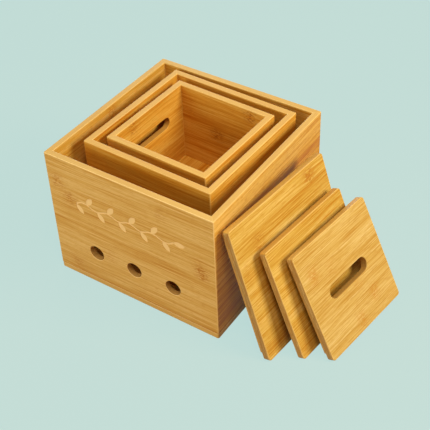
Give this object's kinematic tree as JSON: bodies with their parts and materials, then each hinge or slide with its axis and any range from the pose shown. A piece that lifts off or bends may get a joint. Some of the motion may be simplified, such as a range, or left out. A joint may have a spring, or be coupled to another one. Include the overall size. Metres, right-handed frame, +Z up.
{
  "type": "nesting bin set with lids",
  "caption": "Square bamboo vegetable bins nested with level rims, vent holes in the front, finger slots in the sides, and flat slotted lids leaning on one side.",
  "frame": {"origin": "centre of the large bin's underside, on the table", "axes": "+Z up; +X along the vented front to the side that the lids lean on; the vented front faces -Y"},
  "size_m": [0.4232, 0.26, 0.2],
  "materials": {
    "bamboo_wall": "clear satin lacquer",
    "bamboo_floor": "clear satin lacquer",
    "bamboo_lid": "clear satin lacquer",
    "bamboo_cleat": "clear satin lacquer"
  },
  "bodies": {
    "large_bin": {"large_front_panel": "bamboo_wall", "large_back_panel": "bamboo_wall", "large_left_panel": "bamboo_wall", "large_right_panel": "bamboo_wall", "large_base_board": "bamboo_floor"},
    "middle_bin": {"middle_front_panel": "bamboo_wall", "middle_back_panel": "bamboo_wall", "middle_left_panel": "bamboo_wall", "middle_right_panel": "bamboo_wall", "middle_floor_board": "bamboo_floor"},
    "small_bin": {"small_front_panel": "bamboo_wall", "small_back_panel": "bamboo_wall", "small_left_panel": "bamboo_wall", "small_right_panel": "bamboo_wall", "small_floor_board": "bamboo_floor"},
    "large_lid": {"large_lid_board": "bamboo_lid", "large_lid_left_cleat": "bamboo_cleat", "large_lid_right_cleat": "bamboo_cleat"},
    "middle_lid": {"middle_lid_board": "bamboo_lid", "middle_lid_left_cleat": "bamboo_cleat", "middle_lid_right_cleat": "bamboo_cleat"},
    "small_lid": {"small_lid_board": "bamboo_lid", "small_lid_left_cleat": "bamboo_cleat", "small_lid_right_cleat": "bamboo_cleat"}
  },
  "joints": [
    {"name": "middle_bin_lift", "type": "slide", "parent": "large_bin", "child": "middle_bin", "axis": [0, 0, 1], "range_m": [0, 0.2]},
    {"name": "small_bin_lift", "type": "slide", "parent": "middle_bin", "child": "small_bin", "axis": [0, 0, 1], "range_m": [0, 0.165]},
    {"name": "large_lid_pull", "type": "slide", "parent": "large_bin", "child": "large_lid", "axis": [0.9431, -0.0941, 0.319], "range_m": [0, 0.18]},
    {"name": "middle_lid_pull", "type": "slide", "parent": "large_lid", "child": "middle_lid", "axis": [0.9129, -0.1008, 0.3955], "range_m": [0, 0.18]},
    {"name": "small_lid_pull", "type": "slide", "parent": "middle_lid", "child": "small_lid", "axis": [0.8824, -0.1115, 0.4571], "range_m": [0, 0.18]}
  ]
}
